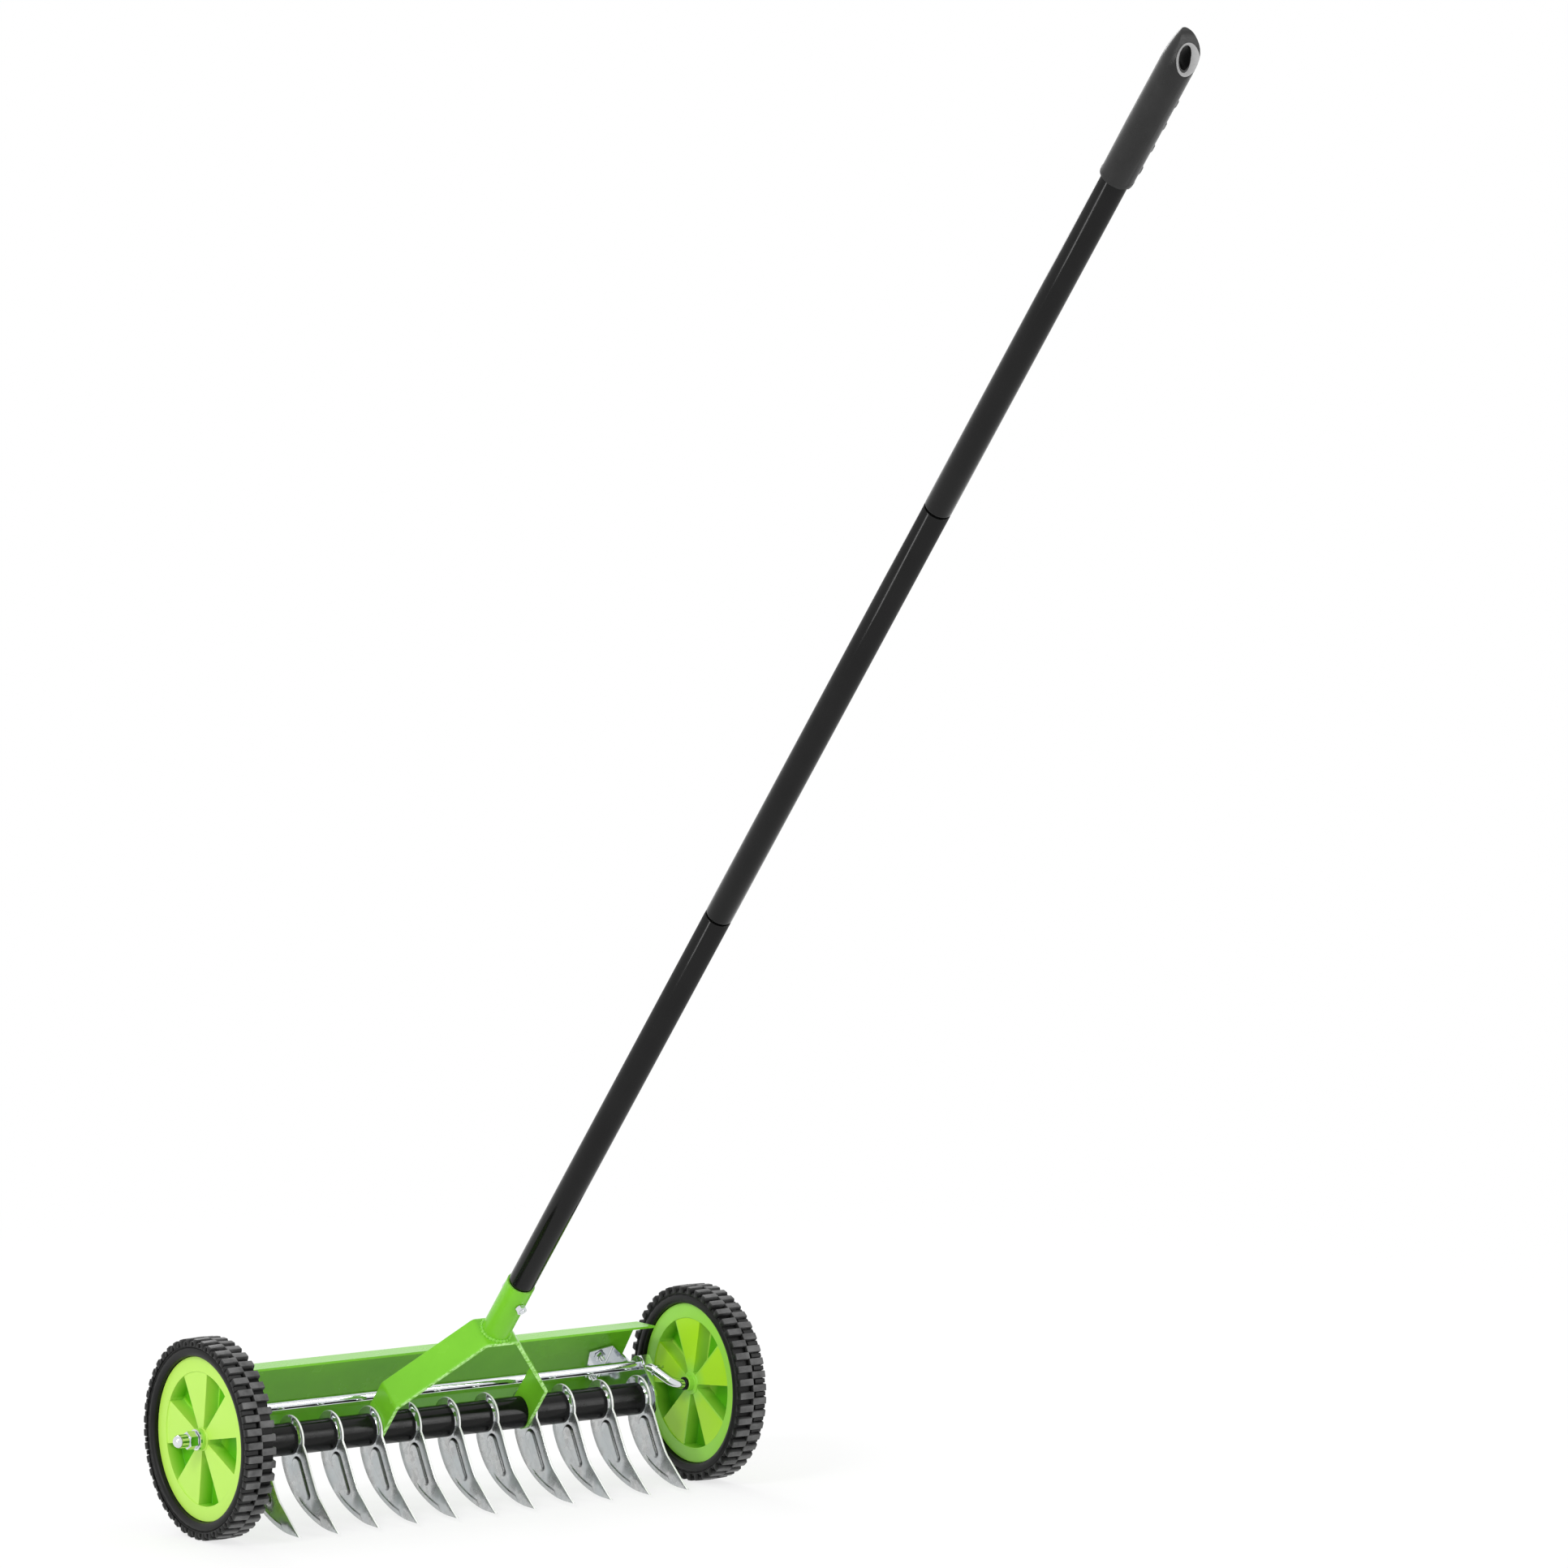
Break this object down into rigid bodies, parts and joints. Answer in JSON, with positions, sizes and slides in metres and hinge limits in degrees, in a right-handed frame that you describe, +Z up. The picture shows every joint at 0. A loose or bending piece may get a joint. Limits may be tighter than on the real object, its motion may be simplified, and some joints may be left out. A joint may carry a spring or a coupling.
{
  "type": "wheeled lawn scarifier",
  "caption": "Push-pull lawn scarifier: a row of curved steel tines on a shaft under a bent sheet hood, rubber-tyred wheels on a cranked axle, and a long jointed tube handle with a grip.",
  "frame": {"origin": "on the ground, below the middle of the whole machine's bounding box", "axes": "+X to the user's right along the tine shaft, +Y forward away from the user, +Z up; the handle rises towards -Y"},
  "size_m": [0.5476, 1.0662, 1.2326],
  "materials": {
    "green_paint": "glossy powder coat",
    "black_paint": "glossy",
    "lime_plastic": "moulded, satin gloss",
    "tyre_rubber": "matt moulded rubber",
    "galvanised_steel": "galvanised, stamped",
    "zinc_steel": "bright zinc plate",
    "black_plastic": "satin",
    "grip_plastic": "fine moulded texture"
  },
  "bodies": {
    "frame": {"hood": "green_paint", "bracket_left": "zinc_steel", "bracket_right": "zinc_steel", "hood_screw_left_upper": "zinc_steel", "hood_screw_left_lower": "zinc_steel", "hood_screw_right_upper": "zinc_steel", "hood_screw_right_lower": "zinc_steel", "hood_nut_left_upper": "zinc_steel", "hood_nut_left_lower": "zinc_steel", "hood_nut_right_upper": "zinc_steel", "hood_nut_right_lower": "zinc_steel", "tine_shaft": "zinc_steel", "shaft_washer_left": "zinc_steel", "shaft_washer_right": "zinc_steel", "shaft_nut_left": "zinc_steel", "shaft_nut_right": "zinc_steel", "tine_01": "galvanised_steel", "tine_02": "galvanised_steel", "tine_03": "galvanised_steel", "tine_04": "galvanised_steel", "tine_05": "galvanised_steel", "tine_06": "galvanised_steel", "tine_07": "galvanised_steel", "tine_08": "galvanised_steel", "tine_09": "galvanised_steel", "tine_10": "galvanised_steel", "tine_11": "galvanised_steel", "spacer_01": "black_plastic", "spacer_02": "black_plastic", "spacer_03": "black_plastic", "spacer_04": "black_plastic", "spacer_05": "black_plastic", "spacer_06": "black_plastic", "spacer_07": "black_plastic", "spacer_08": "black_plastic", "spacer_09": "black_plastic", "spacer_10": "black_plastic", "yoke": "green_paint", "handle_socket": "green_paint", "socket_screw": "zinc_steel", "socket_nut": "zinc_steel", "handle_tube_lower": "black_paint", "handle_tube_middle": "black_paint", "handle_tube_upper": "black_paint", "grip": "grip_plastic"},
    "crank": {"crank_axle": "zinc_steel", "split_pin_left": "zinc_steel", "split_pin_right": "zinc_steel", "inner_washer_left": "zinc_steel", "inner_washer_right": "zinc_steel", "outer_washer_left": "zinc_steel", "outer_washer_right": "zinc_steel", "cap_nut_left": "zinc_steel", "cap_nut_right": "zinc_steel"},
    "wheel_left": {"wheel_rim_left": "lime_plastic", "tyre_left": "tyre_rubber"},
    "wheel_right": {"wheel_rim_right": "lime_plastic", "tyre_right": "tyre_rubber"}
  },
  "joints": [
    {"name": "crank_swing", "type": "hinge", "parent": "frame", "child": "crank", "pos_m": [0, 0.47194, 0.09769], "axis": [1, 0, 0], "range_deg": [-10, 55]},
    {"name": "wheel_left_spin", "type": "hinge", "parent": "crank", "child": "wheel_left", "pos_m": [-0.24, 0.44666, 0.0825], "axis": [1, 0, 0], "continuous": true},
    {"name": "wheel_right_spin", "type": "hinge", "parent": "crank", "child": "wheel_right", "pos_m": [0.24, 0.44666, 0.0825], "axis": [1, 0, 0], "continuous": true}
  ]
}
